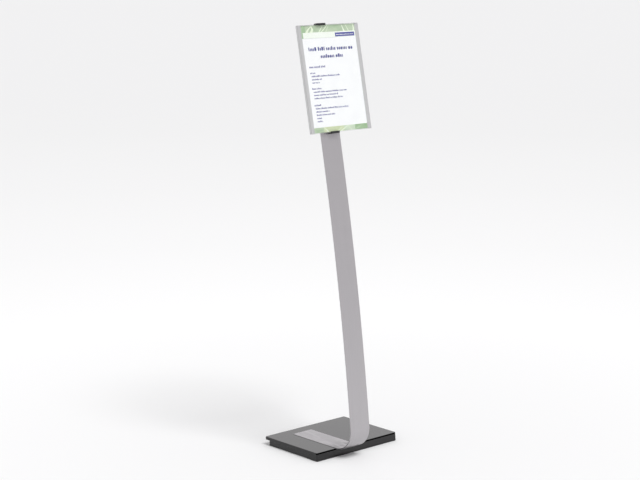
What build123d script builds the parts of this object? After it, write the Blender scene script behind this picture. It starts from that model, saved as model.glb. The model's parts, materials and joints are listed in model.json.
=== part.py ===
"""Floor-standing sign stand: a weighted base, one bent flat strut and a clipped acrylic sign panel.

Millimetres, +Z up, the sign faces -Y. The origin is at floor level, under the middle of the whole
stand's footprint: in X that is the middle of the base, and in Y it lies half-way between the front
of the strut's bend and the back of the base.
"""

from build123d import *
from math import cos, radians, sin
import os

os.makedirs("parts", exist_ok=True)

# ---------------------------------------------------------------- driving dimensions

# Base
base_width = 310.0
base_depth = 222.0
base_height = 25.0
base_corner = 3.0
base_edge = 0.6
cover_top = 3.0
cover_wall = 2.0
cover_front_wall = 6.0
rim_height = 8.5
skirt_depth = 26.0
skirt_flare = 2.0
floor_gap = 1.0
channel_depth = 3.0
channel_pad = 4.0
channel_pad_margin = 5.0
groove_depth = 3.0
groove_drop = 1.0
groove_height = 3.4
groove_taper = 0.7
tray_side_inset = 2.5
tray_front_inset = 6.0
tray_rear_inset = 14.0
tray_wall = 1.5
tray_floor = 2.0
tray_corner = 3.0
ballast_width = 262.0
ballast_depth = 190.0
ballast_thickness = 15.0
ballast_corner = 2.0
ballast_chamfer = 0.8
ballast_hole_x = 100.0
ballast_front_row = 42.0
ballast_rear_row = 50.0
boss_radius = 4.5
boss_x = 138.0
boss_front_row = 16.0
boss_rear_row = 24.0
rubber_foot_radius = 11.0
rubber_foot_chamfer = 0.4
rubber_foot_x = 128.0
rubber_foot_front_row = 32.0
rubber_foot_rear_row = 42.0

# Strut
strut_width = 70.0
strut_thickness = 4.0
strut_x = -47.0
strut_edge = 0.6
strut_corner = 4.0
bend_radius = 60.0
strut_foot_length = 184.0
foot_front_row = 42.0
foot_rear_row = 104.0
strut_top_inset = 1.0
lower_lean = 6.0
panel_lean = 11.5
bow_length = 831.0

# Sign panel
pane_width = 226.0
pane_height = 300.0
pane_thickness = 4.0
pane_corner = 1.5
pane_chamfer = 0.4
panel_x = -12.0
sheet_width = 210.0
sheet_height = 297.0
sheet_thickness = 0.3
sheet_gap = 0.1
pane_pad_radius = 5.0
pane_pad_spacing_x = 44.0
pane_pad_spacing_y = 90.0
pane_pad_height = 145.0

# Clips
clip_x = -39.0
clip_width = 32.0
clip_plate = 2.4
clip_web = 2.6
clip_lip = 2.0
clip_cover = 2.6
clip_pad = 0.8
pad_inset = 1.0
clip_round = 0.5
face_gap = 0.2
slide_gap = 0.1
bottom_plate_height = 40.0
top_plate_height = 74.0
bottom_clip_rows = (12.0, 30.0)
clip_travel = 8.0

# Spring mechanism behind the strut: heights run down from the panes' top edge
bracket_width = 38.0
bracket_sheet = 1.5
bracket_top = 12.0
bracket_bottom = 79.8
bracket_hole_x = 14.0
bracket_hole_rows = (22.0, 73.0)
bracket_slot_margin = 2.0
lug_depth = 8.5
carriage_width = 34.0
carriage_top = 48.0
carriage_bottom = 78.0
carriage_depth = 8.2
carriage_gap = 0.3
carriage_round = 1.5
carriage_hole_depth = 7.5
tongue_width = 12.0
tongue_top = 54.0
tongue_bottom = 70.0
tongue_hole_inset = 4.0
pin_radius = 1.5
pin_spacing = 25.0
pin_overhang = 1.5
pin_inset = 4.2
pin_chamfer = 0.3
spring_radius = 2.4
spring_wire_radius = 0.4
spring_pitch = 3.4
housing_width = 50.0
housing_top = 3.0
housing_bottom = 92.0
housing_depth = 13.0
housing_wall = 1.6
housing_round = 3.0
housing_edge = 1.2
housing_boss_radius = 3.2
housing_lower_boss = 5.5
housing_upper_boss = 4.5
thumb_width = 16.0
thumb_top = 56.0
thumb_bottom = 70.0
thumb_depth = 7.5
thumb_edge = 1.0
ridge_count = 3
ridge_start = 4.0
ridge_pitch = 3.0
ridge_width = 1.0
ridge_depth = 0.8

# Screws: shank radius and head radius of each size
m3 = (1.5, 2.9)
m4 = (2.0, 4.0)
m5 = (2.5, 4.5)
m6 = (3.0, 6.0)
countersink = 90.0
socket_share = 0.75
foot_screw_length = 21.7
tray_screw_length = 14.0
ballast_screw_length = 12.0
clip_screw_length = 6.0
carriage_screw_length = 15.0

# Fits
screw_fit = 0.05
running_fit = 0.05
slot_fit = 0.6
channel_fit = 0.3
tip_gap = 0.3

# ---------------------------------------------------------------- derived places

outer_radius = bend_radius + strut_thickness
base_y = outer_radius / 2
base_front = base_y - base_depth / 2
base_rear = base_y + base_depth / 2
rim_z = base_height - rim_height
ceiling_z = base_height - cover_top
tray_front = base_front + tray_front_inset
tray_rear = base_rear - tray_rear_inset
tray_y = (tray_front + tray_rear) / 2
tray_width = base_width - 2 * tray_side_inset
tray_depth = tray_rear - tray_front
tray_top_z = ceiling_z - face_gap
tray_floor_z = floor_gap + tray_floor
channel_z = base_height - channel_depth
channel_pad_z = channel_z - channel_pad
channel_pad_width = strut_width + 2 * channel_pad_margin
foot_tail = base_front + strut_foot_length
foot_holes = [(strut_x, base_front + row) for row in (foot_front_row, foot_rear_row)]
boss_rows = (base_front + boss_front_row, base_y, base_rear - boss_rear_row)
boss_places = [(x, y) for x in (-boss_x, boss_x) for y in boss_rows]
ballast_rows = (base_front + ballast_front_row, base_rear - ballast_rear_row)
ballast_holes = [(x, y) for x in (-ballast_hole_x, ballast_hole_x) for y in ballast_rows]
rubber_foot_rows = (base_front + rubber_foot_front_row, base_rear - rubber_foot_rear_row)
rubber_foot_places = [(x, y) for x in (-rubber_foot_x, rubber_foot_x) for y in rubber_foot_rows]
hollow_depth = base_depth - cover_front_wall - cover_wall
hollow_y = base_y + (cover_front_wall - cover_wall) / 2

# The strut's front line runs along the base, round the bend, up the long bow and straight on top.
lean_0 = radians(lower_lean)
lean_1 = radians(panel_lean)
bow_radius = bow_length / (lean_1 - lean_0)
bend_end_y = base_front - outer_radius * cos(lean_0)
bend_end_z = channel_z + outer_radius * (1 + sin(lean_0))
panel_y = bend_end_y + bow_radius * (cos(lean_0) - cos(lean_1))
panel_z = bend_end_z + bow_radius * (sin(lean_1) - sin(lean_0))
strut_end = pane_height - strut_top_inset

# The panel's frame lies on the strut's front face: X to the right, Y up the strut and Z out to the
# viewer, with its origin on the clips' centre line, level with the panes' bottom edge.
panel_plane = Plane((clip_x, panel_y, panel_z), (1, 0, 0), (0, -cos(lean_1), sin(lean_1)))
outward = Axis(panel_plane.origin, panel_plane.z_dir)
upward = Axis(panel_plane.origin, panel_plane.y_dir)
pane_x = panel_x - clip_x
strut_centre = strut_x - clip_x
strut_back = -strut_thickness
rear_pane_z = clip_plate + face_gap
sheet_z = rear_pane_z + pane_thickness + sheet_gap
front_pane_z = sheet_z + sheet_thickness + sheet_gap
lip_z = front_pane_z + pane_thickness + face_gap
clip_front = lip_z + clip_lip
clip_span = (-clip_width / 2, clip_width / 2)
pad_span = (pad_inset - clip_width / 2, clip_width / 2 - pad_inset)
pad_depths = (rear_pane_z, lip_z - slide_gap)
bottom_web = (-clip_pad - clip_web, -clip_pad)
top_web = (pane_height + clip_pad, pane_height + clip_pad + clip_web)
bottom_clip_holes = [(0, row) for row in bottom_clip_rows]

bracket_span = (-bracket_width / 2, bracket_width / 2)
bracket_rows = (pane_height - bracket_bottom, pane_height - bracket_top)
bracket_back = strut_back - bracket_sheet
bracket_hole_columns = (-bracket_hole_x, bracket_hole_x)
bracket_holes = [(x, pane_height - y) for x in bracket_hole_columns for y in bracket_hole_rows]
bracket_slot = (-tongue_width / 2 - bracket_slot_margin, tongue_width / 2 + bracket_slot_margin)
lug_back = bracket_back - lug_depth
upper_lug = bracket_rows[1] - bracket_sheet
lower_lug = bracket_rows[0] + bracket_sheet
carriage_front = bracket_back - carriage_gap
carriage_back = carriage_front - carriage_depth
pin_z = carriage_front - pin_inset
tongue_rows = (pane_height - tongue_bottom, pane_height - tongue_top)
bracket_slot_rows = (
    tongue_rows[0] - bracket_slot_margin,
    tongue_rows[1] + clip_travel + bracket_slot_margin,
)
tongue_holes = [(0, tongue_rows[0] + tongue_hole_inset), (0, tongue_rows[1] - tongue_hole_inset)]
thumb_rows = (pane_height - thumb_bottom, pane_height - thumb_top)
housing_back = strut_back - housing_depth
housing_inner = housing_back + housing_wall
housing_rows = (pane_height - housing_bottom, pane_height - housing_top)
housing_holes = [
    (0, housing_rows[0] + housing_lower_boss),
    (0, housing_rows[1] - housing_upper_boss),
]


# ---------------------------------------------------------------- helpers


def slab(x, y, z, mode=Mode.ADD):
    """Add or cut a block of the panel's frame that spans the pairs x, y and z."""
    with BuildSketch(panel_plane.offset(z[0])) as profile:
        with Locations(((x[0] + x[1]) / 2, (y[0] + y[1]) / 2)):
            Rectangle(x[1] - x[0], y[1] - y[0])
    extrude(profile.sketch, amount=z[1] - z[0], mode=mode)


def panel_holes(places, radius, z):
    """Cut round holes through the panel frame's depths z[0] to z[1]."""
    with BuildSketch(panel_plane.offset(z[0])) as profile:
        with Locations(*places):
            Circle(radius)
    extrude(profile.sketch, amount=z[1] - z[0], mode=Mode.SUBTRACT)


def drilled_up(rows, radius, mode):
    """Add or cut a pair of rods along the guide pins' lines, between two heights on the strut."""
    foot = panel_plane.from_local_coords((0, rows[0], pin_z))
    with BuildSketch(Plane(foot, (1, 0, 0), panel_plane.y_dir)) as profile:
        with GridLocations(pin_spacing, 1, 2, 1):
            Circle(radius)
    extrude(profile.sketch, amount=rows[1] - rows[0], mode=mode)


def from_front(places, depth):
    """Locations on the panel's frame whose holes and screws run back into the strut."""
    return [panel_plane.offset(depth).location * Location((x, y, 0)) for x, y in places]


def from_behind(places, depth):
    """Locations on the panel's frame whose holes and screws run forward into the strut."""
    turned = Location((0, 0, 0), (180, 0, 0))
    return [place * turned for place in from_front(places, depth)]


def from_below(places, height):
    """Locations on a level plane whose holes and screws run upward."""
    return [Location((x, y, height), (180, 0, 0)) for x, y in places]


def sink_hole(size, depth):
    """A countersunk clearance hole for a screw size."""
    shank, head = size
    CounterSinkHole(shank + screw_fit, head + screw_fit, depth, countersink)


def countersunk_screw(size, length):
    """A countersunk screw with a hexagon socket: its flat top at Z = 0 and its shank below."""
    shank, head = size
    with BuildPart() as screw:
        with BuildSketch(Plane.XZ) as profile:
            with BuildLine():
                Polyline(
                    (0, 0),
                    (head, 0),
                    (shank, shank - head),
                    (shank, shank / 2 - length),
                    (shank / 2, -length),
                    (0, -length),
                    close=True,
                )
            make_face()
        revolve(profile.sketch, axis=Axis.Z)
        with BuildSketch() as socket:
            RegularPolygon(shank * socket_share, 6, major_radius=False)
        extrude(socket.sketch, amount=shank - head, mode=Mode.SUBTRACT)
    return screw.part


def strut_line(inset):
    """Draw the strut's side line, inset from its front face, and give its two ends."""
    run_z = channel_z + inset
    run = Line((foot_tail, run_z), (base_front, run_z))
    bend = JernArc(run @ 1, run % 1, outer_radius - inset, -90 - lower_lean)
    bow = JernArc(bend @ 1, bend % 1, bow_radius - inset, lower_lean - panel_lean)
    top = Line(bow @ 1, (bow @ 1) + (bow % 1) * strut_end)
    return run @ 0, top @ 1


# ---------------------------------------------------------------- base

with BuildPart() as base_cover:
    with BuildSketch(Plane.YZ.offset(-base_width / 2)):
        with BuildLine():
            Polyline(
                (base_rear, base_height),
                (base_rear, rim_z),
                (base_front + skirt_depth, rim_z),
                (base_front + skirt_depth, floor_gap),
                (base_front - skirt_flare, floor_gap),
                (base_front, base_height),
                close=True,
            )
        make_face()
    extrude(amount=base_width)
    upright = base_cover.edges().filter_by(lambda edge: abs((edge % 0.5).Z) > 0.9)
    upright_rows = upright.group_by(Axis.Y)
    fillet(upright_rows[0] + upright_rows[-1], radius=base_corner)
    fillet(base_cover.faces().sort_by(Axis.Z)[-1].edges(), radius=base_edge)
    # shadow groove under the top's front edge
    with BuildSketch(Plane.YZ.offset(-base_width / 2)):
        with BuildLine():
            groove_top = base_height - groove_drop
            groove_foot = groove_top - groove_height
            Polyline(
                (base_front - skirt_flare, groove_top),
                (base_front + groove_depth, groove_top - groove_taper),
                (base_front + groove_depth, groove_foot + groove_taper),
                (base_front - skirt_flare, groove_foot),
                close=True,
            )
        make_face()
    extrude(amount=base_width, mode=Mode.SUBTRACT)
    # the hollow, open to the floor, with a thicker front wall behind the groove
    with BuildSketch(Plane((0, hollow_y, 0))):
        Rectangle(base_width - 2 * cover_wall, hollow_depth)
    extrude(amount=ceiling_z, mode=Mode.SUBTRACT)
    with BuildSketch(Plane.XY.offset(tray_floor_z)):
        with Locations(*boss_places):
            Circle(boss_radius)
            Circle(m4[0] + screw_fit, mode=Mode.SUBTRACT)
    extrude(amount=ceiling_z - tray_floor_z)
    # the channel for the strut's foot, open at the front, over a pad that rests on the ballast
    pad_length = strut_foot_length + channel_pad_margin - cover_front_wall
    with BuildSketch(Plane((strut_x, base_front + cover_front_wall + pad_length / 2, channel_pad_z))):
        Rectangle(channel_pad_width, pad_length)
    extrude(amount=ceiling_z - channel_pad_z)
    with BuildSketch(Plane.XY.offset(channel_z)):
        with Locations((strut_x, foot_tail + channel_fit - strut_foot_length)):
            RectangleRounded(
                strut_width + 2 * channel_fit, 2 * strut_foot_length, strut_corner + channel_fit
            )
    extrude(amount=channel_depth, mode=Mode.SUBTRACT)
    with BuildSketch(Plane.XY.offset(channel_pad_z)):
        with Locations(*foot_holes):
            Circle(m6[0] + screw_fit)
    extrude(amount=channel_pad, mode=Mode.SUBTRACT)
base_cover.part.label = "base_cover"
export_step(base_cover.part, "parts/base_cover.step")

with BuildPart() as base_tray:
    with BuildSketch(Plane((0, tray_y, floor_gap))):
        RectangleRounded(tray_width, tray_depth, tray_corner)
    extrude(amount=tray_top_z - floor_gap)
    with BuildSketch(Plane((0, tray_y, tray_floor_z))):
        RectangleRounded(
            tray_width - 2 * tray_wall, tray_depth - 2 * tray_wall, tray_corner - tray_wall
        )
    extrude(amount=tray_top_z - tray_floor_z, mode=Mode.SUBTRACT)
    # notch in the front wall, where the cover's channel pad passes over it
    notch_z = channel_pad_z - face_gap
    with BuildSketch(Plane((strut_x, tray_front, notch_z))):
        Rectangle(channel_pad_width + 2 * channel_fit, 3 * tray_wall)
    extrude(amount=tray_top_z - notch_z, mode=Mode.SUBTRACT)
    with Locations(*from_below(boss_places, floor_gap)):
        sink_hole(m4, tray_floor)
    with Locations(*from_below(ballast_holes, floor_gap)):
        sink_hole(m5, tray_floor)
base_tray.part.label = "base_tray"
export_step(base_tray.part, "parts/base_tray.step")

with BuildPart() as ballast_plate:
    with BuildSketch(Plane((0, tray_y, tray_floor_z))):
        RectangleRounded(ballast_width, ballast_depth, ballast_corner)
    extrude(amount=ballast_thickness)
    chamfer(ballast_plate.faces().sort_by(Axis.Z)[-1].edges(), length=ballast_chamfer)
    with BuildSketch(Plane.XY.offset(tray_floor_z)):
        with Locations(*ballast_holes):
            Circle(m5[0] + screw_fit)
    extrude(amount=ballast_thickness, mode=Mode.SUBTRACT)
    with Locations(*from_below(foot_holes, tray_floor_z)):
        sink_hole(m6, ballast_thickness)
ballast_plate.part.label = "ballast_plate"
export_step(ballast_plate.part, "parts/ballast_plate.step")

with BuildPart() as rubber_feet:
    with BuildSketch():
        with Locations(*rubber_foot_places):
            Circle(rubber_foot_radius)
    extrude(amount=floor_gap)
    chamfer(rubber_feet.faces().group_by(Axis.Z)[0].edges(), length=rubber_foot_chamfer)
rubber_feet.part.label = "rubber_feet"
export_step(rubber_feet.part, "parts/rubber_feet.step")

with BuildPart() as tray_screws:
    with Locations(*from_below(boss_places, floor_gap)):
        add(countersunk_screw(m4, tray_screw_length))
tray_screws.part.label = "tray_screws"
export_step(tray_screws.part, "parts/tray_screws.step")

with BuildPart() as ballast_screws:
    with Locations(*from_below(ballast_holes, floor_gap)):
        add(countersunk_screw(m5, ballast_screw_length))
ballast_screws.part.label = "ballast_screws"
export_step(ballast_screws.part, "parts/ballast_screws.step")

# ---------------------------------------------------------------- strut

with BuildPart() as strut:
    with BuildSketch(Plane.YZ.offset(strut_x - strut_width / 2)):
        with BuildLine():
            front_tail, front_top = strut_line(0)
            back_tail, back_top = strut_line(strut_thickness)
            Line(front_tail, back_tail)
            Line(front_top, back_top)
        make_face()
    extrude(amount=strut_width)
    ends = strut.faces().sort_by(Axis.Y)[-1:] + strut.faces().sort_by(upward)[-1:]
    end_corners = ends.edges().filter_by(Axis.X, reverse=True)
    fillet(end_corners, radius=strut_corner)
    fillet(strut.faces().filter_by(Axis.X).edges(), radius=strut_edge)
    with Locations(*from_below(foot_holes, channel_z)):
        Hole(m6[0] + screw_fit, channel_depth)
    slab(
        (-tongue_width / 2 - slot_fit, tongue_width / 2 + slot_fit),
        (tongue_rows[0] - slot_fit, tongue_rows[1] + clip_travel + slot_fit),
        (strut_back, 0),
        Mode.SUBTRACT,
    )
    panel_holes(bottom_clip_holes, m3[0] + screw_fit, (strut_back, 0))
    panel_holes(bracket_holes, m3[0] + screw_fit, (strut_back, 0))
    panel_holes(housing_holes, m3[0] + screw_fit, (strut_back, 0))
strut.part.label = "strut"
export_step(strut.part, "parts/strut.step")

with BuildPart() as foot_screws:
    with Locations(*from_below(foot_holes, tray_floor_z)):
        add(countersunk_screw(m6, foot_screw_length))
foot_screws.part.label = "foot_screws"
export_step(foot_screws.part, "parts/foot_screws.step")

with BuildPart() as pane_pads:
    with BuildSketch(panel_plane):
        with Locations((strut_centre, pane_pad_height)):
            with GridLocations(pane_pad_spacing_x, pane_pad_spacing_y, 2, 2):
                Circle(pane_pad_radius)
    extrude(amount=rear_pane_z - slide_gap)
pane_pads.part.label = "pane_pads"
export_step(pane_pads.part, "parts/pane_pads.step")

# ---------------------------------------------------------------- sign panel

for pane_name, pane_z in (("rear_pane", rear_pane_z), ("front_pane", front_pane_z)):
    with BuildPart() as pane:
        with BuildSketch(panel_plane.offset(pane_z)):
            with Locations((pane_x, pane_height / 2)):
                RectangleRounded(pane_width, pane_height, pane_corner)
        extrude(amount=pane_thickness)
        chamfer(pane.faces().sort_by(SortBy.AREA)[-2:].edges(), length=pane_chamfer)
    pane.part.label = pane_name
    export_step(pane.part, f"parts/{pane_name}.step")

with BuildPart() as insert_sheet:
    with BuildSketch(panel_plane.offset(sheet_z)):
        with Locations((pane_x, pane_height / 2)):
            Rectangle(sheet_width, sheet_height)
    extrude(amount=sheet_thickness)
insert_sheet.part.label = "insert_sheet"
export_step(insert_sheet.part, "parts/insert_sheet.step")

# ---------------------------------------------------------------- fixed bottom clip

with BuildPart() as bottom_clip:
    slab(clip_span, (bottom_web[0], bottom_plate_height), (0, clip_plate))
    slab(clip_span, bottom_web, (0, clip_front))
    slab(clip_span, (bottom_web[0], clip_cover), (lip_z, clip_front))
    fillet(bottom_clip.faces().sort_by(outward)[-1].edges(), radius=clip_round)
    with Locations(*from_front(bottom_clip_holes, clip_plate)):
        sink_hole(m3, clip_plate)
bottom_clip.part.label = "bottom_clip"
export_step(bottom_clip.part, "parts/bottom_clip.step")

with BuildPart() as bottom_clip_pad:
    slab(pad_span, (-clip_pad, -slide_gap), pad_depths)
bottom_clip_pad.part.label = "bottom_clip_pad"
export_step(bottom_clip_pad.part, "parts/bottom_clip_pad.step")

with BuildPart() as bottom_clip_screws:
    with Locations(*from_front(bottom_clip_holes, clip_plate)):
        add(countersunk_screw(m3, clip_screw_length))
bottom_clip_screws.part.label = "bottom_clip_screws"
export_step(bottom_clip_screws.part, "parts/bottom_clip_screws.step")

# ---------------------------------------------------------------- sliding top clip

with BuildPart() as top_clip:
    slab(clip_span, (pane_height - top_plate_height, top_web[1]), (slide_gap, clip_plate))
    slab(clip_span, top_web, (slide_gap, clip_front))
    slab(clip_span, (pane_height - clip_cover, top_web[1]), (lip_z, clip_front))
    fillet(top_clip.faces().sort_by(outward)[-1].edges(), radius=clip_round)
    slab((-tongue_width / 2, tongue_width / 2), tongue_rows, (carriage_front, slide_gap))
    with Locations(*from_front(tongue_holes, clip_plate)):
        sink_hole(m3, clip_plate - carriage_front)
top_clip.part.label = "top_clip"
export_step(top_clip.part, "parts/top_clip.step")

with BuildPart() as top_clip_pad:
    slab(pad_span, (pane_height + slide_gap, pane_height + clip_pad), pad_depths)
top_clip_pad.part.label = "top_clip_pad"
export_step(top_clip_pad.part, "parts/top_clip_pad.step")

with BuildPart() as clip_carriage:
    carriage_rows = (pane_height - carriage_bottom, pane_height - carriage_top)
    slab(
        (-carriage_width / 2, carriage_width / 2), carriage_rows, (carriage_back, carriage_front)
    )
    fillet(clip_carriage.edges().filter_by(outward), radius=carriage_round)
    thumb_back = carriage_back - thumb_depth
    slab((-thumb_width / 2, thumb_width / 2), thumb_rows, (thumb_back, carriage_back))
    chamfer(clip_carriage.faces().sort_by(outward)[0].edges(), length=thumb_edge)
    for ridge in range(ridge_count):
        ridge_y = thumb_rows[0] + ridge_start + ridge_pitch * ridge
        slab(
            (-thumb_width / 2, thumb_width / 2),
            (ridge_y - ridge_width / 2, ridge_y + ridge_width / 2),
            (thumb_back, thumb_back + ridge_depth),
            Mode.SUBTRACT,
        )
    drilled_up(carriage_rows, pin_radius + running_fit, Mode.SUBTRACT)
    hole_depths = (carriage_front - carriage_hole_depth, carriage_front)
    panel_holes(tongue_holes, m3[0] + screw_fit, hole_depths)
clip_carriage.part.label = "clip_carriage"
export_step(clip_carriage.part, "parts/clip_carriage.step")

with BuildPart() as carriage_screws:
    with Locations(*from_front(tongue_holes, clip_plate)):
        add(countersunk_screw(m3, carriage_screw_length))
carriage_screws.part.label = "carriage_screws"
export_step(carriage_screws.part, "parts/carriage_screws.step")

# ---------------------------------------------------------------- spring mechanism

with BuildPart() as clip_bracket:
    slab(bracket_span, bracket_rows, (bracket_back, strut_back))
    slab(bracket_span, (upper_lug, bracket_rows[1]), (lug_back, bracket_back))
    slab(bracket_span, (bracket_rows[0], lower_lug), (lug_back, bracket_back))
    slab(bracket_slot, bracket_slot_rows, (bracket_back, strut_back), Mode.SUBTRACT)
    drilled_up(bracket_rows, pin_radius + screw_fit, Mode.SUBTRACT)
    with Locations(*from_behind(bracket_holes, bracket_back)):
        sink_hole(m3, bracket_sheet)
clip_bracket.part.label = "clip_bracket"
export_step(clip_bracket.part, "parts/clip_bracket.step")

with BuildPart() as bracket_screws:
    with Locations(*from_behind(bracket_holes, bracket_back)):
        add(countersunk_screw(m3, bracket_sheet + strut_thickness - tip_gap))
bracket_screws.part.label = "bracket_screws"
export_step(bracket_screws.part, "parts/bracket_screws.step")

with BuildPart() as guide_pins:
    pin_rows = (bracket_rows[0] - pin_overhang, bracket_rows[1] + pin_overhang)
    drilled_up(pin_rows, pin_radius, Mode.ADD)
    chamfer(guide_pins.edges(), length=pin_chamfer)
guide_pins.part.label = "guide_pins"
export_step(guide_pins.part, "parts/guide_pins.step")

with BuildPart() as clip_springs:
    spring_rows = (pane_height - carriage_top + spring_wire_radius, upper_lug - spring_wire_radius)
    for spring_x in (-pin_spacing / 2, pin_spacing / 2):
        foot = panel_plane.from_local_coords((spring_x, spring_rows[0], pin_z))
        height = spring_rows[1] - spring_rows[0]
        with BuildLine() as coil:
            Helix(spring_pitch, height, spring_radius, foot, panel_plane.y_dir)
        with BuildSketch(Plane(coil.line @ 0, z_dir=coil.line % 0)):
            Circle(spring_wire_radius)
        sweep(path=coil.line, is_frenet=True)
clip_springs.part.label = "clip_springs"
export_step(clip_springs.part, "parts/clip_springs.step")

with BuildPart() as rear_housing:
    housing_span = (-housing_width / 2, housing_width / 2)
    slab(housing_span, housing_rows, (housing_back, strut_back))
    fillet(rear_housing.edges().filter_by(outward), radius=housing_round)
    fillet(rear_housing.faces().sort_by(outward)[0].edges(), radius=housing_edge)
    slab(
        (housing_span[0] + housing_wall, housing_span[1] - housing_wall),
        (housing_rows[0] + housing_wall, housing_rows[1] - housing_wall),
        (housing_inner, strut_back),
        Mode.SUBTRACT,
    )
    with BuildSketch(panel_plane.offset(housing_inner)):
        with Locations(*housing_holes):
            Circle(housing_boss_radius)
    extrude(amount=strut_back - housing_inner)
    slab(
        (-thumb_width / 2 - slot_fit, thumb_width / 2 + slot_fit),
        (thumb_rows[0] - slot_fit, thumb_rows[1] + clip_travel + slot_fit),
        (housing_back, housing_inner),
        Mode.SUBTRACT,
    )
    with Locations(*from_behind(housing_holes, housing_back)):
        sink_hole(m3, housing_depth)
rear_housing.part.label = "rear_housing"
export_step(rear_housing.part, "parts/rear_housing.step")

with BuildPart() as housing_screws:
    with Locations(*from_behind(housing_holes, housing_back)):
        add(countersunk_screw(m3, housing_depth + strut_thickness - tip_gap))
housing_screws.part.label = "housing_screws"
export_step(housing_screws.part, "parts/housing_screws.step")
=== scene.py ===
"""Looks of the floor-standing sign stand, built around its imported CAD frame.

Metres, +Z up, the sign faces -Y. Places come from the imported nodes. A length that only the looks
need is named beside the piece it belongs to.
"""

import json
import random
from math import cos, pi, radians, sin

import bmesh
import bpy
from mathutils import Matrix, Vector
from mathutils.geometry import delaunay_2d_cdt


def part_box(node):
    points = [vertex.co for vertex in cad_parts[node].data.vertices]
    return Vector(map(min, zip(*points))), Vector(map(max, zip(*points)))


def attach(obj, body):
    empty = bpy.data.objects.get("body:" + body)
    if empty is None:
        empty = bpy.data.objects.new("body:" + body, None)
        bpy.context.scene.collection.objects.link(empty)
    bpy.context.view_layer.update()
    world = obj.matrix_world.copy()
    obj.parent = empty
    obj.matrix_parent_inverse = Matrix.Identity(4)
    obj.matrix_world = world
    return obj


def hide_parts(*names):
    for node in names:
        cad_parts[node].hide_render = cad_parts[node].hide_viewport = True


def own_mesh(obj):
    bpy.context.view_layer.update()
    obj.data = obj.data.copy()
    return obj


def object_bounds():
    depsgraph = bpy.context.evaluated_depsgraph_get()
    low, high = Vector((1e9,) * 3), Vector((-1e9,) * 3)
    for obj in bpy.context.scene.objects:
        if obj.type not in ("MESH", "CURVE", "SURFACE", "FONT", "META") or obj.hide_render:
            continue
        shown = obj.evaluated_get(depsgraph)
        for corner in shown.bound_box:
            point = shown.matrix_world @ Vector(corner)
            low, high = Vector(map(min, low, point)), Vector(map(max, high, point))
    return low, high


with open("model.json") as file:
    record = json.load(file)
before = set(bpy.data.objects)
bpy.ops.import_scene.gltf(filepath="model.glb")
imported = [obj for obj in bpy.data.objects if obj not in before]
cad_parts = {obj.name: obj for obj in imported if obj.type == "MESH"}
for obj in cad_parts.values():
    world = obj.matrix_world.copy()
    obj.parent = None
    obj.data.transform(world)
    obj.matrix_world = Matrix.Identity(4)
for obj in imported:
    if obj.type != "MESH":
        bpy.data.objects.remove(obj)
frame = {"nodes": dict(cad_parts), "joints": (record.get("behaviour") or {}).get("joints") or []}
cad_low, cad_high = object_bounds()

MM = 0.001
nodes = frame["nodes"]

# The panel's own directions: right along the sign, up the strut and out to the viewer.
clip_slide = next(joint for joint in frame["joints"] if joint["name"] == "clip_slide")
panel_up = Vector(clip_slide["axis"]).normalized()
panel_right = Vector((1, 0, 0))
panel_out = panel_right.cross(panel_up)
to_panel = Matrix((panel_right, panel_up, panel_out))
from_panel = to_panel.transposed()


def panel_box(name):
    """Lowest and highest corner of a CAD node, measured along the panel's own directions."""
    points = [to_panel @ vertex.co for vertex in nodes[name].data.vertices]
    low = Vector(min(point[axis] for point in points) for axis in range(3))
    high = Vector(max(point[axis] for point in points) for axis in range(3))
    return low, high


# ---------------------------------------------------------------- shader graphs


def srgb(red, green, blue):
    """Linear RGBA of a display colour given from 0 to 255."""
    shares = [channel / 255 for channel in (red, green, blue)]
    linear = [s / 12.92 if s <= 0.04045 else ((s + 0.055) / 1.055) ** 2.4 for s in shares]
    return (*linear, 1.0)


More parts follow.
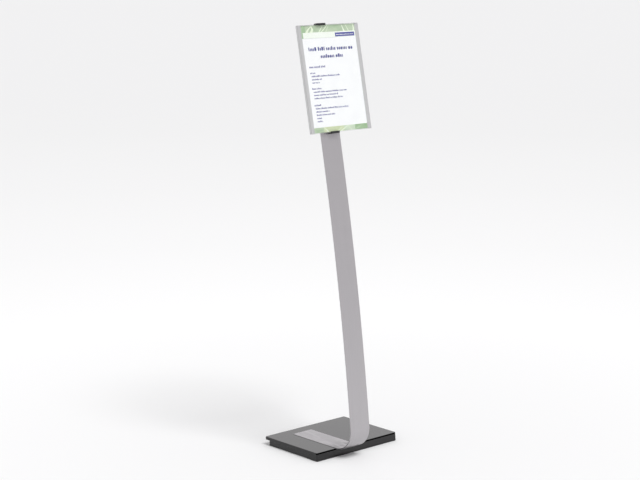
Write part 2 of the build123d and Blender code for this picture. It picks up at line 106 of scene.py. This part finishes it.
class Graph:
    """The node tree of one material, built a node at a time."""

    def __init__(self, name):
        self.material = bpy.data.materials.new(name)
        self.material.use_nodes = True
        self.tree = self.material.node_tree
        self.tree.nodes.clear()
        self.output = self.add("OutputMaterial", {})

    def add(self, kind, inputs, **settings):
        """Add a node. Each input is a plain value or the output socket of another node."""
        node = self.tree.nodes.new("ShaderNode" + kind)
        for key, value in settings.items():
            setattr(node, key, value)
        for key, value in inputs.items():
            if isinstance(value, bpy.types.NodeSocket):
                self.tree.links.new(value, node.inputs[key])
            else:
                node.inputs[key].default_value = value
        return node

    def place(self, scale):
        """Object coordinates in metres, times a scale along X, Y and Z."""
        where = self.add("TexCoord", {}).outputs["Object"]
        return self.add("Mapping", {"Vector": where, "Scale": scale}).outputs["Vector"]

    def noise(self, scale, detail=2.0, roughness=0.5, distortion=0.0):
        """Noise from 0 to 1 with so many cells per metre along X, Y and Z."""
        inputs = {"Vector": self.place(scale), "Scale": 1.0, "Detail": detail}
        inputs |= {"Roughness": roughness, "Distortion": distortion}
        return self.add("TexNoise", inputs).outputs["Fac"]

    def math(self, operation, first, second=0.0):
        """One Math node's value."""
        return self.add("Math", {0: first, 1: second}, operation=operation).outputs[0]

    def spread(self, value, low, high, start=0.3, end=0.7):
        """A value from start to end, stretched to run from low to high."""
        inputs = {"Value": value, "From Min": start, "From Max": end}
        return self.add("MapRange", inputs | {"To Min": low, "To Max": high}).outputs["Result"]

    def blend(self, share, first, second):
        """A colour that goes from first to second with the share."""
        mix = self.add("Mix", {0: share}, data_type="RGBA")
        for key, colour in ((6, first), (7, second)):
            if isinstance(colour, bpy.types.NodeSocket):
                self.tree.links.new(colour, mix.inputs[key])
            else:
                mix.inputs[key].default_value = colour
        return mix.outputs[2]

    def edge_highlight(self, width):
        """A share that rises to 1 on the sharp edges of a piece, as wide as the bevel, where a highlight is
        painted.
        """
        bevel = self.add("Bevel", {"Radius": width}, samples=6).outputs["Normal"]
        face = self.add("NewGeometry", {}).outputs["Normal"]
        alike = self.add("VectorMath", {0: bevel, 1: face}, operation="DOT_PRODUCT")
        return self.spread(alike.outputs["Value"], 1.0, 0.0, start=0.75, end=0.98)

    def inside(self, low, high):
        """A share that is 1 between two corners in Y and Z, and 0 outside."""
        split = self.add("SeparateXYZ", {"Vector": self.add("TexCoord", {}).outputs["Object"]})
        shares = []
        for axis, start, end in (("Y", low.y, high.y), ("Z", low.z, high.z)):
            above = self.math("GREATER_THAN", split.outputs[axis], start)
            below = self.math("LESS_THAN", split.outputs[axis], end)
            shares.append(self.math("MULTIPLY", above, below))
        return self.math("MULTIPLY", *shares)

    def bump(self, height, distance):
        """A normal from a height from 0 to 1, which stands for the distance in metres."""
        return self.add("Bump", {"Height": height, "Distance": distance, "Strength": 1.0}).outputs["Normal"]

    def finish(self, inputs):
        """Close the graph with a Principled shader and return the material."""
        shader = self.add("BsdfPrincipled", inputs)
        self.tree.links.new(shader.outputs[0], self.output.inputs["Surface"])
        return self.material


# ---------------------------------------------------------------- materials


def moulded_plastic(name, colour, mottle_and_highlight, roughness, grain, depth, painted_shade_box=None):
    """Moulded plastic with a fine spark-eroded grain, faint mottling and paler edges painted as highlights.

    The box of painted shade is given as its low and high corner; inside it the surface is painted black as
    shade and loses its gloss.
    """
    graph = Graph(name)
    cells = graph.noise((grain,) * 3, detail=3.0, roughness=0.6)
    mottle = graph.noise((9.0,) * 3, detail=4.0)
    # edges painted paler as highlights, unevenly along their length
    edge = graph.math("MULTIPLY", graph.edge_highlight(0.5 * MM), graph.spread(mottle, 0.25, 0.8))
    shade = graph.blend(graph.spread(mottle, 0.0, 0.35), colour, mottle_and_highlight)
    inputs = {
        "Base Color": graph.blend(edge, shade, mottle_and_highlight),
        "Roughness": graph.spread(mottle, roughness - 0.04, roughness + 0.05),
        "Normal": graph.bump(cells, depth),
    }
    if painted_shade_box:
        # painted shade: black and without gloss inside the box
        painted_shade = graph.inside(*painted_shade_box)
        inputs["Base Color"] = graph.blend(painted_shade, inputs["Base Color"], srgb(4, 4, 4))
        open_gloss, shaded_gloss = 0.5, 0.02
        gloss = graph.spread(painted_shade, open_gloss, shaded_gloss, start=0.0, end=1.0)
        inputs["Specular IOR Level"] = gloss
    return graph.finish(inputs)


def anodised_aluminium():
    """Satin anodised strip: fine streaks over an etched grain, painted shade on the foot near the bend
    broken into smears, and edges painted paler as highlights.
    """
    graph = Graph("satin_anodised_aluminium")
    streaks = graph.noise((1600.0, 5.0, 5.0), detail=4.0, roughness=0.65)
    etch = graph.noise((2600.0,) * 3, detail=2.0)
    clouds = graph.noise((7.0, 3.0, 3.0), detail=3.0)
    tone = graph.blend(
        graph.spread(streaks, 0.0, 1.0), srgb(177, 174, 177), srgb(183, 180, 183)
    )
    # painted shade on the foot, where the bend shades it, broken into smears: darkest at the bend, it fades
    # up the bend and back along the foot
    split = graph.add("SeparateXYZ", {"Vector": graph.add("TexCoord", {}).outputs["Object"]})
    low = Vector(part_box("strut")[0])
    fade_up = (low.z + 8.0 * MM, low.z + 20.0 * MM)
    fade_back = (low.y + 50.0 * MM, low.y + 110.0 * MM)
    near_floor = graph.spread(split.outputs["Z"], 1.0, 0.0, *fade_up)
    shade_near_bend = graph.spread(split.outputs["Y"], 1.0, 0.3, *fade_back)
    patches = graph.noise((60.0, 16.0, 16.0), detail=3.0, distortion=1.2)
    foot_shade_patches = graph.math("MULTIPLY", near_floor, graph.spread(patches, 0.15, 1.0, start=0.38, end=0.6))
    tone = graph.blend(graph.math("MULTIPLY", foot_shade_patches, shade_near_bend), tone, srgb(112, 110, 113))
    # edges painted paler as highlights
    edge = graph.edge_highlight(0.7 * MM)
    height = graph.math("ADD", graph.math("MULTIPLY", streaks, 0.7), graph.math("MULTIPLY", etch, 0.3))
    return graph.finish(
        {
            "Base Color": graph.blend(edge, tone, srgb(222, 221, 224)),
            "Metallic": 0.62,
            "Roughness": graph.spread(clouds, 0.28, 0.33),
            "Normal": graph.bump(height, 0.002 * MM),
        }
    )


def turned_metal(name, colour, roughness, cells):
    """Plated or bare steel with fine scratches and a patchy sheen."""
    graph = Graph(name)
    scratches = graph.noise((cells, cells, cells / 6), detail=3.0, roughness=0.7)
    patches = graph.noise((260.0,) * 3, detail=3.0)
    dull = tuple(0.72 * channel for channel in colour[:3])
    return graph.finish(
        {
            "Base Color": graph.blend(graph.spread(patches, 0.0, 1.0), (*dull, 1.0), colour),
            "Metallic": 1.0,
            "Roughness": graph.spread(patches, roughness + 0.08, roughness - 0.05),
            "Normal": graph.bump(scratches, 0.01 * MM),
        }
    )


def rubber():
    """Black rubber with a dusty, finely pitted surface."""
    graph = Graph("black_rubber")
    pits = graph.noise((1500.0,) * 3, detail=3.0)
    dust = graph.noise((60.0,) * 3, detail=4.0)
    return graph.finish(
        {
            "Base Color": graph.blend(graph.spread(dust, 0.0, 0.6), srgb(24, 24, 25), srgb(50, 49, 48)),
            "Roughness": graph.spread(dust, 0.7, 0.86),
            "Normal": graph.bump(pits, 0.03 * MM),
        }
    )


def acrylic(name, satin_border=0.0):
    """Acrylic pane: polished faces, sawn and frosted edges, and a satin border on its long sides."""
    graph = Graph(name)
    facing = graph.add("NewGeometry", {})
    across = graph.add(
        "VectorMath", {0: facing.outputs["Normal"], 1: panel_out[:]}, operation="DOT_PRODUCT"
    )
    flat = graph.math("ABSOLUTE", across.outputs["Value"])
    frosted = graph.spread(flat, 1.0, 0.0, start=0.55, end=0.85)
    if satin_border:
        where = graph.add("TexCoord", {}).outputs["Object"]
        place = graph.add("SeparateXYZ", {"Vector": where}).outputs["X"]
        low, high = panel_box("front_pane")
        offset = graph.math("SUBTRACT", place, (low.x + high.x) / 2)
        clear_half = (high.x - low.x) / 2 - satin_border
        border = graph.math("GREATER_THAN", graph.math("ABSOLUTE", offset), clear_half)
        front = graph.math("GREATER_THAN", across.outputs["Value"], 0.5)
        frosted = graph.math("MAXIMUM", frosted, graph.math("MULTIPLY", border, front))
    grain = graph.noise((900.0,) * 3, detail=3.0)
    haze = graph.noise((30.0,) * 3, detail=3.0)
    tone = graph.blend(graph.spread(grain, 0.0, 1.0), srgb(182, 182, 183), srgb(191, 191, 192))
    satin = {
        "Base Color": tone,
        "Roughness": graph.spread(haze, 0.4, 0.5),
        "Normal": graph.bump(grain, 0.02 * MM),
        "Alpha": 0.92,
    }
    dull = graph.add("BsdfPrincipled", satin)
    clear = graph.add("BsdfTransparent", {"Color": (0.985, 0.99, 0.988, 1.0)})
    shine = {"Color": (1.0, 1.0, 1.0, 1.0), "Roughness": graph.spread(haze, 0.02, 0.06)}
    polish = graph.add("BsdfAnisotropic", shine)
    outside = graph.math("SUBTRACT", 1.0, facing.outputs["Backfacing"])
    mirror = graph.math("MULTIPLY", graph.add("Fresnel", {"IOR": 1.49}).outputs[0], outside)
    face = graph.add("MixShader", {0: mirror, 1: clear.outputs[0], 2: polish.outputs[0]})
    whole = graph.add("MixShader", {0: frosted, 1: face.outputs[0], 2: dull.outputs[0]})
    graph.tree.links.new(whole.outputs[0], graph.output.inputs["Surface"])
    return graph.material


def paper(name, colour, shade, patches=(40.0,) * 3):
    """Smooth printing paper, or ink on it, with faint fibres and an uneven tone."""
    graph = Graph(name)
    fibres = graph.noise((420.0,) * 3, detail=4.0, roughness=0.7)
    tone = graph.noise(patches, detail=2.0)
    return graph.finish(
        {
            "Base Color": graph.blend(graph.spread(tone, 0.0, 1.0), colour, shade),
            "Roughness": graph.spread(fibres, 0.52, 0.66),
            "Normal": graph.bump(fibres, 0.008 * MM),
        }
    )


strut_metal = anodised_aluminium()

# The inside of the groove under the cover's front edge, measured from its front and its top; it is painted
# black as shade.
cover_low, cover_high = (Vector(corner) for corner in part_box("base_cover"))
groove_mouth, groove_back = 1.2 * MM, 6.0 * MM
groove_lip, groove_sill = 0.9 * MM, 4.6 * MM
groove = (
    Vector((cover_low.x, cover_low.y + groove_mouth, cover_high.z - groove_sill)),
    Vector((cover_high.x, cover_low.y + groove_back, cover_high.z - groove_lip)),
)
base_plastic = moulded_plastic(
    "anthracite_plastic", srgb(10, 8, 10), srgb(30, 28, 30), 0.1, 1500.0, 0.001 * MM, painted_shade_box=groove
)
clip_plastic = moulded_plastic(
    "black_clip_plastic", srgb(20, 20, 21), srgb(52, 52, 54), 0.42, 2200.0, 0.015 * MM
)
carriage_plastic = moulded_plastic(
    "black_acetal", srgb(26, 26, 27), srgb(58, 58, 60), 0.3, 2600.0, 0.01 * MM
)
zinc = turned_metal("zinc_plated_steel", srgb(198, 200, 202), 0.3, 1200.0)
stainless = turned_metal("stainless_steel", srgb(186, 184, 182), 0.24, 1600.0)
pressed_steel = turned_metal("pressed_steel", srgb(150, 151, 153), 0.38, 900.0)
spring_wire = turned_metal("spring_wire", srgb(142, 140, 138), 0.26, 2000.0)
rolled_steel = turned_metal("rolled_steel_plate", srgb(92, 94, 98), 0.46, 500.0)
powder_coat = moulded_plastic(
    "black_powder_coat", srgb(30, 30, 31), srgb(66, 66, 67), 0.48, 1100.0, 0.02 * MM
)
black_rubber = rubber()
front_acrylic = acrylic("front_acrylic", satin_border=11.0 * MM)
rear_acrylic = acrylic("rear_acrylic")
white_paper = paper("white_paper", srgb(252, 252, 253), srgb(248, 248, 250))

finishes = {
    "base_cover": base_plastic,
    "base_tray": powder_coat,
    "ballast_plate": rolled_steel,
    "rubber_feet": black_rubber,
    "pane_pads": black_rubber,
    "bottom_clip_pad": black_rubber,
    "top_clip_pad": black_rubber,
    "tray_screws": zinc,
    "ballast_screws": zinc,
    "bracket_screws": zinc,
    "foot_screws": stainless,
    "bottom_clip_screws": stainless,
    "carriage_screws": stainless,
    "housing_screws": stainless,
    "strut": strut_metal,
    "bottom_clip": clip_plastic,
    "top_clip": clip_plastic,
    "rear_housing": clip_plastic,
    "clip_carriage": carriage_plastic,
    "clip_bracket": pressed_steel,
    "guide_pins": stainless,
    "front_pane": front_acrylic,
    "rear_pane": rear_acrylic,
}
for node_name, finish in finishes.items():
    for material_slot in nodes[node_name].material_slots:
        material_slot.material = finish


# ---------------------------------------------------------------- the printed sheet

sheet_low, sheet_high = panel_box("insert_sheet")
sheet_width = sheet_high.x - sheet_low.x
sheet_height = sheet_high.y - sheet_low.y
band_height = 19.5 * MM
foot_band_height = 14.5 * MM
strip_width = 11.0 * MM
header_foot = 36.0 * MM
text_left = 0.09
text_indent = 0.108
line_pitch = 0.03

ink_green = paper("ink_green", srgb(172, 195, 162), srgb(200, 212, 188), patches=(22.0, 60.0, 60.0))
ink_deep_green = paper("ink_deep_green", srgb(152, 184, 142), srgb(170, 197, 158))
ink_lime = paper("ink_lime", srgb(200, 212, 168), srgb(212, 222, 186))
ink_pale_green = paper("ink_pale_green", srgb(200, 218, 192), srgb(214, 226, 204))
ink_blade = paper("ink_blade", srgb(228, 240, 212), srgb(240, 247, 230))
ink_header = paper("ink_header", srgb(243, 248, 238), srgb(248, 251, 245))
ink_rule = paper("ink_rule", srgb(188, 192, 190), srgb(204, 206, 204))
ink_block = paper("ink_block", srgb(62, 64, 152), srgb(74, 76, 162))
ink_title = paper("ink_title", srgb(44, 50, 128), srgb(58, 64, 142))
ink_body = paper("ink_body", srgb(62, 60, 138), srgb(78, 76, 152))
inks = [
    white_paper,
    ink_green,
    ink_deep_green,
    ink_lime,
    ink_pale_green,
    ink_blade,
    ink_header,
    ink_rule,
    ink_block,
    ink_title,
    ink_body,
]


def box_shape(left, top, right, bottom):
    """A rectangle on the page, counterclockwise: distances from the page's left and top edges."""
    return [(left, top), (left, bottom), (right, bottom), (right, top)]


def soft_block(left, top, right, bottom):
    """A rectangle whose corners are cut, as the ink of a small mark spreads."""
    cut = 0.22 * min(right - left, bottom - top)
    return [
        (left + cut, top),
        (left, top + cut),
        (left, bottom - cut),
        (left + cut, bottom),
        (right - cut, bottom),
        (right, bottom - cut),
        (right, top + cut),
        (right - cut, top),
    ]


def blade(foot, head, top, bottom, width, sway):
    """A tapering blade of light that crosses a band from its bottom edge to its top edge."""
    steps = 8
    left_side, right_side = [], []
    for step in range(steps + 1):
        share = step / steps
        centre = foot + (head - foot) * share + sway * sin(pi * share)
        half = width * (1.0 - 0.72 * share) / 2
        height = bottom + (top - bottom) * share
        left_side.append((centre - half, height))
        right_side.append((centre + half, height))
    return right_side + left_side[::-1]


def dummy_line(marks, left, right, baseline, x_height):
    """Placeholder marks for one line of print: plain blocks in groups, between two edges."""
    shapes = []
    place = left
    while place < right - x_height:
        for _ in range(marks.randint(3, 9)):
            width = x_height * marks.choice((0.42, 0.62, 0.66, 0.9))
            rise = marks.choice((1.0, 1.0, 1.0, 1.38))
            if place + width > right:
                break
            shapes.append(soft_block(place, baseline - x_height * rise, place + width, baseline))
            place += width + 0.24 * x_height
        place += 0.55 * x_height
    return shapes


def page_layout():
    """Every printed area as (shape, ink), later ones over earlier ones."""
    width, height = sheet_width, sheet_height
    marks = random.Random(11)
    foot_top = height - foot_band_height
    page = [
        (box_shape(0, 0, width, band_height), ink_green),
        (box_shape(0, band_height, strip_width, header_foot), ink_deep_green),
        (box_shape(strip_width, band_height, width, header_foot), ink_header),
        (box_shape(0, 0, 0.1 * width, band_height), ink_deep_green),
        (box_shape(0, foot_top, 0.2 * width, height), ink_green),
        (box_shape(0.2 * width, foot_top, 0.56 * width, height), ink_lime),
        (box_shape(0.56 * width, foot_top, 0.76 * width, height), ink_pale_green),
        (box_shape(0.76 * width, foot_top, width, height), ink_deep_green),
    ]
    for foot, head, thick, sway in (
        (0.12, 0.24, 0.045, -0.02),
        (0.20, 0.19, 0.05, 0.03),
        (0.34, 0.42, 0.02, 0.0),
        (0.38, 0.50, 0.028, 0.005),
        (0.46, 0.53, 0.012, 0.0),
        (0.79, 0.75, 0.024, 0.0),
        (0.87, 0.82, 0.016, 0.0),
        (0.96, 0.95, 0.03, 0.01),
    ):
        shape = blade(foot * width, head * width, 0, band_height, thick * width, sway * width)
        page.append((shape, ink_blade))
    for foot, head, thick, sway in (
        (0.27, 0.20, 0.03, 0.01),
        (0.44, 0.57, 0.022, -0.01),
        (0.50, 0.64, 0.05, 0.0),
        (0.70, 0.62, 0.014, 0.0),
        (0.74, 0.90, 0.012, 0.02),
    ):
        shape = blade(foot * width, head * width, foot_top, height, thick * width, sway * width)
        page.append((shape, ink_blade))
    rule = box_shape(strip_width, header_foot - 0.7 * MM, 0.66 * width, header_foot)
    page.append((rule, ink_rule))
    page.append((box_shape(0.62 * width, 0.077 * height, 0.968 * width, 0.114 * height), ink_block))
    lines = [
        (0.64, 0.955, 0.101, 2.3 * MM, ink_header),
        (0.116, 0.935, 0.238, 7.6 * MM, ink_title),
        (0.314, 0.734, 0.308, 7.4 * MM, ink_title),
        (text_left, 0.4, 0.396, 4.4 * MM, ink_body),
    ]
    for first_line, ends in (
        (0.45, (0.19, 0.62, 0.28, 0.24)),
        (0.596, (0.25, 0.71, 0.54, 0.62)),
        (0.751, (0.22, 0.69, 0.35, 0.44, 0.19, 0.21)),
    ):
        for row, end in enumerate(ends):
            start = text_indent if row else text_left
            lines.append((start, end, first_line + line_pitch * row, 3.4 * MM, ink_body))
    for left, right, baseline, x_height, ink in lines:
        line = dummy_line(marks, left * width, right * width, baseline * height, x_height)
        page.extend((shape, ink) for shape in line)
    return page


def printed_sheet():
    """The page as one closed sheet, whose front is divided along the edge of every printed area."""
    layout = [(box_shape(0, 0, sheet_width, sheet_height), white_paper)] + page_layout()
    corners, outlines = [], []
    for shape, _ in layout:
        start = len(corners)
        corners.extend(Vector((across, -down)) for across, down in shape)
        outlines.append(list(range(start, start + len(shape))))
    divided = delaunay_2d_cdt(corners, [], outlines, 1, 1e-6)
    flat_points, faces, owners = divided[0], divided[2], divided[5]
    mesh = bmesh.new()
    front = []
    for point in flat_points:
        place = Vector((sheet_low.x + point.x, sheet_high.y + point.y, sheet_high.z))
        front.append(mesh.verts.new(from_panel @ place))
    for face, inside in zip(faces, owners):
        made = mesh.faces.new([front[corner] for corner in face])
        made.material_index = inks.index(layout[max(inside)][1])
    rim = [edge for edge in mesh.edges if edge.is_boundary]
    walls = bmesh.ops.extrude_edge_only(mesh, edges=rim)["geom"]
    moved = [item for item in walls if isinstance(item, bmesh.types.BMVert)]
    bmesh.ops.translate(mesh, verts=moved, vec=panel_out * (sheet_low.z - sheet_high.z))
    open_edges = [edge for edge in mesh.edges if edge.is_boundary]
    back = bmesh.ops.contextual_create(mesh, geom=open_edges)["faces"]
    for face in back + [item for item in walls if isinstance(item, bmesh.types.BMFace)]:
        face.material_index = inks.index(white_paper)
    bmesh.ops.recalc_face_normals(mesh, faces=mesh.faces)
    data = bpy.data.meshes.new("printed_sheet")
    mesh.to_mesh(data)
    mesh.free()
    for ink in inks:
        data.materials.append(ink)
    sheet = bpy.data.objects.new("printed_sheet", data)
    bpy.context.scene.collection.objects.link(sheet)
    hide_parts("insert_sheet")
    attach(sheet, "printed_insert")
    return sheet


printed_sheet()


# ---------------------------------------------------------------- the clip's two springs


def coil_spring(name, centre_x, low, high):
    """A closed-end compression spring that stands along the strut between two corners."""
    wire = 0.4 * MM
    turns, steps = 10, 16
    end_crowding = 0.09
    radius = (high.z - low.z) / 2 - wire
    depth = (high.z + low.z) / 2
    curve = bpy.data.curves.new(name, "CURVE")
    curve.dimensions = "3D"
    curve.bevel_depth = wire
    curve.bevel_resolution = 3
    curve.use_fill_caps = True
    spline = curve.splines.new("POLY")
    spline.points.add(turns * steps)
    for step, point in enumerate(spline.points):
        share = step / (turns * steps)
        closed = share - end_crowding * sin(2 * pi * share)
        turn = 2 * pi * turns * share
        height = low.y + wire + (high.y - low.y - 2 * wire) * closed
        place = Vector((centre_x + radius * cos(turn), height, depth + radius * sin(turn)))
        point.co = (*(from_panel @ place), 1.0)
    made = bpy.data.objects.new(name + "_line", curve)
    bpy.context.scene.collection.objects.link(made)
    bpy.context.view_layer.update()
    data = bpy.data.meshes.new_from_object(made.evaluated_get(bpy.context.evaluated_depsgraph_get()))
    bpy.data.objects.remove(made)
    spring = bpy.data.objects.new(name, data)
    for polygon in data.polygons:
        polygon.use_smooth = True
    data.materials.clear()
    data.materials.append(spring_wire)
    bpy.context.scene.collection.objects.link(spring)
    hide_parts("clip_springs")
    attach(spring, "stand")
    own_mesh(spring)
    return spring


springs_low, springs_high = panel_box("clip_springs")
spring_radius = (springs_high.z - springs_low.z) / 2
coil_spring("left_spring", springs_low.x + spring_radius, springs_low, springs_high)
coil_spring("right_spring", springs_high.x - spring_radius, springs_low, springs_high)


# ---------------------------------------------------------------- floor, light and camera


def studio_floor():
    """A wide, pale, matt floor whose colour carries a painted pool of light: painted shade close to the
    stand, brightest a little way round it and greyer far off.
    """
    graph = Graph("pale_floor")
    where = graph.add("TexCoord", {}).outputs["Object"]
    away = graph.add("VectorMath", {0: where}, operation="LENGTH").outputs["Value"]
    reach = graph.spread(away, 0.0, 1.0, start=0.0, end=10.0)
    # floor colour by distance from the stand: painted shade close in, a painted pool of light round it,
    # greyer far off
    tone = graph.add("ValToRGB", {"Fac": reach})
    stops = tone.color_ramp.elements
    stops[0].color = (0.88, 0.88, 0.882, 1.0)
    stops[1].color = (0.83, 0.83, 0.832, 1.0)
    for place, level in ((0.17, 0.95), (0.32, 0.9), (0.5, 0.865), (0.78, 0.835)):
        stops.new(place).color = (level, level, level, 1.0)
    finish = graph.finish(
        {"Base Color": tone.outputs["Color"], "Roughness": 0.9, "Specular IOR Level": 0.0}
    )
    mesh = bmesh.new()
    floor_radius = 70.0
    bmesh.ops.create_circle(mesh, cap_ends=True, segments=96, radius=floor_radius)
    data = bpy.data.meshes.new("floor")
    mesh.to_mesh(data)
    mesh.free()
    data.materials.append(finish)
    floor = bpy.data.objects.new("floor", data)
    bpy.context.scene.collection.objects.link(floor)


def soft_sun(name, energy, spread, tilt):
    """A distant soft light, tilted from straight overhead towards the front."""
    lamp = bpy.data.lights.new(name, "SUN")
    lamp.energy = energy
    lamp.angle = radians(spread)
    sun = bpy.data.objects.new(name, lamp)
    sun.rotation_euler = (radians(tilt), 0.0, 0.0)
    bpy.context.scene.collection.objects.link(sun)


def studio_light():
    """A surround that darkens overhead, a bright panel behind and a broad light high in front."""
    world = bpy.data.worlds.new("studio")
    world.use_nodes = True
    tree = world.node_tree
    direction = tree.nodes.new("ShaderNodeTexCoord").outputs["Generated"]
    split = tree.nodes.new("ShaderNodeSeparateXYZ")
    tree.links.new(direction, split.inputs["Vector"])
    sky = tree.nodes.new("ShaderNodeValToRGB")
    tree.links.new(split.outputs["Z"], sky.inputs["Fac"])
    stops = sky.color_ramp.elements
    horizon, overhead = stops[0], stops[1]
    horizon.color, horizon.position = (0.76, 0.75, 0.757, 1.0), 0.15
    overhead.color, overhead.position = (0.5, 0.5, 0.505, 1.0), 0.8
    behind = tree.nodes.new("ShaderNodeVectorMath")
    behind.operation = "DOT_PRODUCT"
    panel_direction = Vector((0.64, 0.7, 0.31)).normalized()
    behind.inputs[1].default_value = panel_direction
    tree.links.new(direction, behind.inputs[0])
    glow = tree.nodes.new("ShaderNodeMapRange")
    glow.interpolation_type = "SMOOTHSTEP"
    rim_cosine, core_cosine, panel_gain = 0.78, 0.97, 1.6
    glow.inputs["From Min"].default_value = rim_cosine
    glow.inputs["From Max"].default_value = core_cosine
    glow.inputs["To Min"].default_value = 1.0
    glow.inputs["To Max"].default_value = panel_gain
    tree.links.new(behind.outputs["Value"], glow.inputs["Value"])
    surround = tree.nodes["Background"]
    tree.links.new(sky.outputs["Color"], surround.inputs["Color"])
    tree.links.new(glow.outputs["Result"], surround.inputs["Strength"])
    bpy.context.scene.world = world
    soft_sun("key", energy=1.7, spread=26.0, tilt=30.0)


def studio_camera():
    """A long lens at standing height, off the sign's left front."""
    azimuth, elevation = radians(-42.08), radians(10.31)
    distance, focal_length = 4.859, 96.5
    aim_offset = Vector((-0.039, 0.0355, -0.004))
    aim = (cad_low + cad_high) / 2 + aim_offset
    back = Vector(
        (sin(azimuth) * cos(elevation), -cos(azimuth) * cos(elevation), sin(elevation))
    )
    lens = bpy.data.cameras.new("camera")
    lens.lens = focal_length
    camera = bpy.data.objects.new("camera", lens)
    camera.location = aim + distance * back
    camera.rotation_euler = back.to_track_quat("Z", "Y").to_euler()
    bpy.context.scene.collection.objects.link(camera)
    bpy.context.scene.camera = camera


studio_floor()
studio_light()
studio_camera()
bpy.context.scene.view_settings.view_transform = "Standard"
